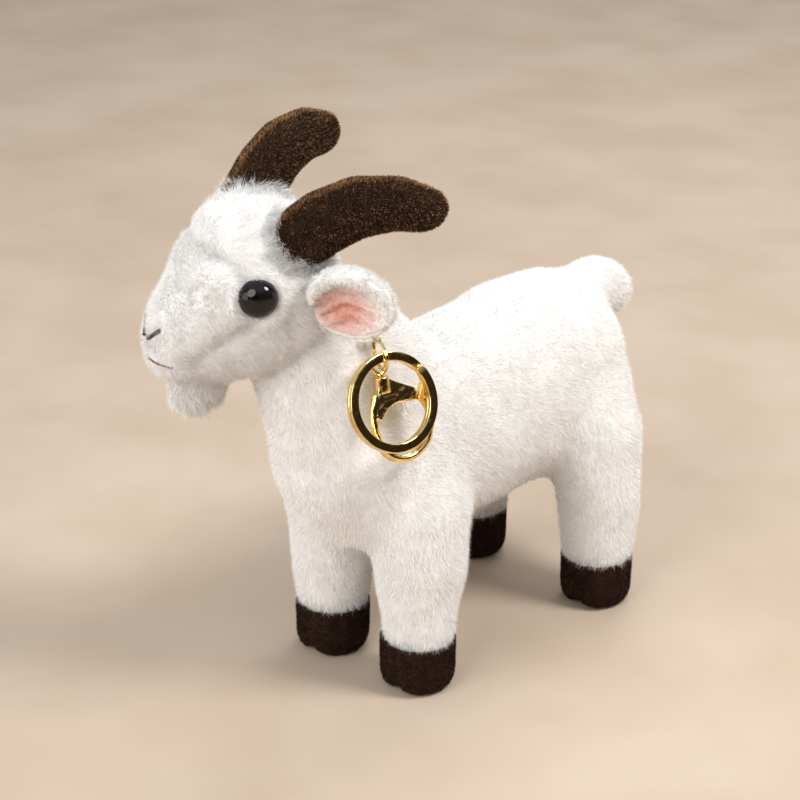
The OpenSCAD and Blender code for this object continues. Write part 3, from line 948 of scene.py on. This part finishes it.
def rim_roll(side):
    """A soft roll along the upper edge and the tip of an ear."""
    half_l, half_h = EAR_LENGTH / 2 * RIM_INSET, EAR_HEIGHT / 2 * RIM_INSET
    path = []
    for turn in np.linspace(*deg(*RIM_SPAN), 40):
        on_rim = (half_l * math.cos(turn), -0.5, half_h * math.sin(turn))
        path.append(point(ear_frame(side), on_rim))
    share = np.linspace(0, 1, len(path))
    radii = MM * (RIM_THIN + RIM_SWELL * np.sin(math.pi * share**1.2) ** 0.8)
    return tube("rim", path, radii, 14)


def ear_back(name, side):
    """The ear's white back and its thick rim, sewn into one skin."""
    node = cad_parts[f"{name}_ear_back"]
    obj = joined(f"{name}_ear_plush", [node.data, rim_roll(side)])
    rooted(remeshed(obj, 0.5 * MM, 8), HEAD_NODES, HEAD_MIDDLE, EAR_SINK)
    return finished(obj, GOAT, "white_plush", f"{name}_ear_back", material=WHITE_CLOTH)


def folded(obj, side):
    """Presses a fold into the lining, with a soft ridge beside it."""
    points = coords(obj)
    local = local_to(ear_frame(side), points)
    near = near_path(local, [tuple(Vector(p) * MM) for p in EAR_FOLD])
    out = np.array(ear_frame(side).to_3x3() @ Vector((0, -1, 0)))
    depth = FOLD_DEPTH * bell(near - 1.6 * MM, 1.3 * MM) - FOLD_DEPTH * bell(near, 1.2 * MM)
    set_coords(obj, points + depth[:, None] * out)
    return smooth_shaded(obj)


def ear_lining(name, side):
    obj = from_nodes(f"{name}_ear_pink", [f"{name}_ear_lining"], 0.45 * MM, 3)
    folded(rooted(obj, HEAD_NODES, HEAD_MIDDLE, EAR_SINK), side)
    return finished(obj, GOAT, "pink_plush", f"{name}_ear_lining", material=blushed_cloth(side))


def apart_from(node, gap):
    """Roots further than gap from a node, for pile that leaves the node's own surface bare."""
    tree = surface_of([node])
    return lambda points: distance_to(tree, points) > gap


def in_blush(side, low, high):
    """The part of the lining between two distances from the middle of its pink."""

    def keep(points):
        far = blush_distance(side, points) + 0.9 * wander(points, 1.5 * MM, seed=8)[:, 0]
        return (far >= low) & (far < high)

    return keep


for name, side in SIDES.items():
    back = ear_back(name, side)
    lining = ear_lining(name, side)
    to_tip = towards(*(ear_frame(side).to_3x3() @ Vector((1, 0, -0.2))))
    pile(f"{name}_ear_pile", back, "white_plush", WHITE_PILE, 52 + side, per_mm2=16,
         length=1.6 * MM, width=0.14 * MM, lean=0.75, lay=to_tip,
         keep=apart_from(f"{name}_ear_lining", 0.9 * MM), swirl=0.6)
    for number, (tone, (low, high, shades)) in enumerate(BLUSH.items()):
        pile(f"{name}_ear_{tone}_pile", lining, "pink_plush", shades, 60 + 4 * number + side,
             per_mm2=16, length=0.9 * MM, width=0.14 * MM, lean=0.8, lay=to_tip,
             keep=in_blush(side, low, high), swirl=0.6)


BEARD_Z = 92 * MM  # below this its hairs grow longer
STRAW_Z = 89 * MM  # and below this a few straw-coloured ones are mixed in


def beard_length(points):
    """The lowest hairs are the longest."""
    low = np.clip((BEARD_Z - points[:, 2]) / (8 * MM), 0, 1)
    return 2.0 * MM + 1.5 * MM * low


def beard_low(points):
    return points[:, 2] < STRAW_Z


beard = shrunk(from_nodes("beard_plush", ["beard"], 0.9 * MM, 4), 0.8 * MM)
rooted(beard, HEAD_NODES, HEAD_MIDDLE, 3.5 * MM)
finished(beard, GOAT, "white_plush", "beard", material=WHITE_CLOTH, fill=0.5)
pile("beard_pile", beard, "white_plush", WHITE_PILE, 70, per_mm2=14, length=beard_length,
     width=0.16 * MM, lean=0.9, lay=towards(0, 0, -1), keep=outside_head, swirl=0.6)
pile("beard_join_pile", head, "white_plush", WHITE_PILE, 72, per_mm2=14, length=3.2 * MM,
     width=0.14 * MM, lean=1.0, lay=towards(0, -0.2, -1), keep=beside("beard", 2.6 * MM))
pile("beard_long_hairs", beard, "white_plush", STRAW_HAIR, 71, per_mm2=0.12, length=8 * MM,
     width=0.14 * MM, lean=1.15, lay=towards(0, 0, -1), keep=beard_low, swirl=0.35)


# ---- Eyes and stitches ----------------------------------------------------------------------


def lathe(name, profile, matrix, steps=48):
    """A profile of (radius, height) points turned about Z, then placed."""
    verts = []
    for radius, height in profile:
        for k in range(steps):
            turn = 2 * math.pi * k / steps
            on_ring = Vector((radius * math.cos(turn), radius * math.sin(turn), height))
            verts.append(matrix @ on_ring)
    return joined(name, [mesh_of("lathe", verts, bands(len(profile), steps))])


def eye_profile():
    """A stem, a small rounded flange and a dome."""
    rise = 3.8 * MM
    turns = np.linspace(0.02, math.pi / 2 - 0.02, 18)
    dome = [(EYE_R * math.cos(t), rise * math.sin(t)) for t in turns]
    stem = [(1.5 * MM, -6 * MM), (1.5 * MM, -1 * MM)]
    flange = [(EYE_R * 0.94, -0.9 * MM), (EYE_R, -0.6 * MM)]
    return stem + flange + dome


for name, side in SIDES.items():
    eye = lathe(f"{name}_eye_dome", eye_profile(), eye_frame(side))
    finished(eye, GOAT, "black_eye", f"{name}_eye", material=BLACK)
    painted(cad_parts[f"{name}_eye_washer"], PLASTIC)


PLY_SHARE = 0.55  # a ply's radius and its distance from the thread's middle


def plies(path, radius, turns, count=3, steps=40):
    """Thread: plies twisted about a polyline."""
    path = np.array(path)
    spans = np.linalg.norm(np.diff(path, axis=0), axis=1)
    at = np.concatenate([[0], np.cumsum(spans)]) / spans.sum()
    ts = np.linspace(0, 1, steps)
    line = np.stack([np.interp(ts, at, path[:, k]) for k in range(3)], 1)
    way = unit(np.gradient(line, axis=0))
    side = unit(np.cross(way, [0.3, 0.2, 1]))
    other = np.cross(way, side)
    made = []
    for k in range(count):
        turn = (2 * math.pi * (turns * ts + k / count))[:, None]
        offset = radius * PLY_SHARE * (np.cos(turn) * side + np.sin(turn) * other)
        made.append(tube("ply", line + offset, radius * PLY_SHARE, 8))
    return made


def on_head(path, side, lift):
    """A line of points moved onto the head's finished skin, and a little off it."""
    out = []
    for p in in_head(path, side):
        near, normal, _, _ = HEAD_TREE.find_nearest(Vector(p))
        out.append(tuple(near + normal * lift))
    return out


def stitch(path, side, radius, turns=2.5):
    return plies(on_head(path, side, 0.8 * radius), radius, turns)


NOSTRIL_R = 0.52 * MM
MOUTH_R = 0.3 * MM

nostrils = joined("nostril_threads", stitch(NOSTRIL, 1, NOSTRIL_R) + stitch(NOSTRIL, -1, NOSTRIL_R))
finished(nostrils, GOAT, "dark_thread", "nostril_stitches", material=DARK_THREAD)
mouth = joined("mouth_threads", stitch(MOUTH[:3], 1, MOUTH_R, 5) + stitch(MOUTH[2:], 1, MOUTH_R, 5))
finished(mouth, GOAT, "dark_thread", "mouth_stitches", material=DARK_THREAD)


# ---- Hardware -------------------------------------------------------------------------------


def loop_path():
    """The part of a circle in which the thread bar stands off the neck."""
    centre, radius = Vector((-1, 0, 0)), 3.4
    turns = np.linspace(-math.pi * 0.62, math.pi * 0.62, 24)
    ring = [centre + radius * Vector((math.cos(t), math.sin(t), 0)) for t in turns]
    return [tuple(point(HARDWARE, p)) for p in ring]


sewn = joined("sewn_thread_bar", plies(loop_path(), 0.5 * MM, 5, steps=70))
finished(sewn, GOAT, "white_thread", "sewn_loop", material=WHITE_THREAD)

CAST = {  # each node with the body it rides on and its voxel size in millimetres
    "link": ("link", 0.12),
    "clasp_eye": ("clasp_swivel", 0.13),
    "clasp_trigger": ("trigger", 0.14),
}
for node, (rides_on, voxel_mm) in CAST.items():
    cast = from_nodes(f"{node}_plated", [node], voxel_mm * MM, 6)
    finished(cast, rides_on, "gold_metal", node, material=GOLD)

# The clasp's own frame has its collar at the top. Its outlines are (y, z) points in millimetres.
CLASP = HARDWARE @ Matrix.Translation(Vector((2.35, 0, -6.5)) * MM)
HOOK = [
    (-1.9, -7),
    (-3.1, -9.8),
    (-3.9, -13.8),
    (-3.7, -17.8),
    (-1.8, -21.8),
    (2.2, -24.2),
    (6.4, -24),
    (10.2, -21.7),
    (12, -18.2),
    (12.4, -16.3),
]
HOOK_R = 1.1 * MM
HOOK_CUT = -10.6  # below this the designed hook gives way to the bent one
SHOULDER = [
    (1.5, -3.6),
    (3.2, -4.6),
    (8.4, -7.3),
    (8.9, -8.8),
    (8.2, -10.2),
    (5, -9.9),
    (2, -10),
    (-0.4, -11.2),
    (-2.4, -13.4),
    (-3.6, -12.5),
    (-2.2, -7.5),
    (-1.6, -6.7),
    (1.5, -6.7),
]
CHEEKS = [(0.72, 1.35), (-1.35, -0.72)]  # the shoulders' two plates, with the trigger between them
WEB = [(-0.4, -11.2), (-2.4, -13.4), (-3.6, -12.5), (-2.2, -7.5), (-1.6, -6.9), (1.6, -6.9), (1.8, -9.9)]
WEB_HALF = 1.3


def curved(path, steps=8):
    """A Catmull-Rom curve through a polyline's points."""
    points = [np.array(path[0])] + [np.array(p) for p in path] + [np.array(path[-1])]
    out = []
    for a, b, c, d in zip(points, points[1:], points[2:], points[3:]):
        for t in np.arange(steps) / steps:
            out.append(0.5 * (2 * b + (c - a) * t + (2 * a - 5 * b + 4 * c - d) * t**2
                              + (3 * b - a - 3 * c + d) * t**3))
    return out + [points[-1]]


def slab(outline, start, end):
    """A flat outline in the clasp's plane, thick from start to end across it."""
    count = len(outline)
    verts = [point(CLASP, (x, y, z)) for x in (start, end) for y, z in outline]
    faces = [tuple(range(count)), tuple(reversed(range(count, 2 * count)))]
    faces += [(k, (k + 1) % count, count + (k + 1) % count, count + k) for k in range(count)]
    return mesh_of("slab", verts, faces)


def clasp_form():
    """The clasp's upper end as designed, with cast shoulders and a smoothly bent hook."""
    upper = bmesh.new()
    upper.from_mesh(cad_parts["clasp_body"].data)
    everything = list(upper.verts) + list(upper.edges) + list(upper.faces)
    low = point(CLASP, (0, 0, HOOK_CUT))
    down = CLASP.to_3x3() @ Vector((0, 0, -1))
    cut = bmesh.ops.bisect_plane(upper, geom=everything, plane_co=low, plane_no=down, clear_outer=True)
    edges = [e for e in cut["geom_cut"] if isinstance(e, bmesh.types.BMEdge)]
    bmesh.ops.holes_fill(upper, edges=edges, sides=0)
    kept = bpy.data.meshes.new("upper")
    upper.to_mesh(kept)
    upper.free()
    bent = [tuple(point(CLASP, (0, y, z))) for y, z in curved(HOOK)]
    parts = [kept, tube("hook", bent, HOOK_R, 24), slab(WEB, -WEB_HALF, WEB_HALF)]
    parts += [slab(SHOULDER, start, end) for start, end in CHEEKS]
    return remeshed(joined("clasp_body_plated", parts), 0.14 * MM, 6)


finished(clasp_form(), "clasp", "gold_metal", "clasp_body", material=GOLD)

for node in ("trigger_pin", "trigger_spring"):
    painted(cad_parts[node], STEEL)


RING_TURNS = 2.02
RING_STEPS = 260
RING_START = 0.9  # where the wire starts, in radians
STEP_SPAN = 0.12  # the turns in which the wire crosses from one side to the other
SECTION_SIDES = 32
SQUARENESS = 0.28  # 1 is a round wire, 0 a square one
END_SIZE = 0.55  # the wire's ends are ground down to this share


def ring_frame():
    """The ring's middle, its plane's two directions, its normal, its mid radius and its thickness."""
    points = coords(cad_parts["split_ring"])
    centre = (points.max(0) + points.min(0)) / 2
    _, _, axes = np.linalg.svd(points - points.mean(0), full_matrices=False)
    normal = axes[2]
    thick = np.ptp((points - centre) @ normal)
    outer = np.linalg.norm(points - centre, axis=1).max()
    return centre, axes[0], np.cross(normal, axes[0]), normal, outer - thick / 2, thick


def squared(value):
    """A sine or cosine pushed outward, which makes a round section nearly square."""
    return math.copysign(abs(value) ** SQUARENESS, value)


def coil():
    """Two turns of flat wire. Each end steps across the gap and lies flush on the other turn."""
    centre, u, v, normal, radius, thick = ring_frame()
    half_h, half_w = thick / 4 - 0.02 * MM, thick / 2 - 0.06 * MM
    verts = []
    for i in range(RING_STEPS + 1):
        t = i / RING_STEPS * RING_TURNS
        turn = 2 * math.pi * t + RING_START
        ramp = np.clip((t - RING_TURNS / 2 + STEP_SPAN / 2) / STEP_SPAN, 0, 1)
        lift = (ramp * ramp * (3 - 2 * ramp) - 0.5) * thick / 2
        radial = math.cos(turn) * u + math.sin(turn) * v
        size = min(1, END_SIZE + (1 - END_SIZE) * min(i, RING_STEPS - i) / 3)
        for k in range(SECTION_SIDES):
            a = 2 * math.pi * k / SECTION_SIDES
            w = squared(math.cos(a)) * half_w * size
            h = squared(math.sin(a)) * half_h * size
            verts.append(centre + radial * (radius + w) + normal * (lift + h))
    return joined("split_ring_coil", [mesh_of("coil", verts, bands(RING_STEPS + 1, SECTION_SIDES))])


finished(coil(), "split_ring", "gold_metal", "split_ring", material=GOLD)
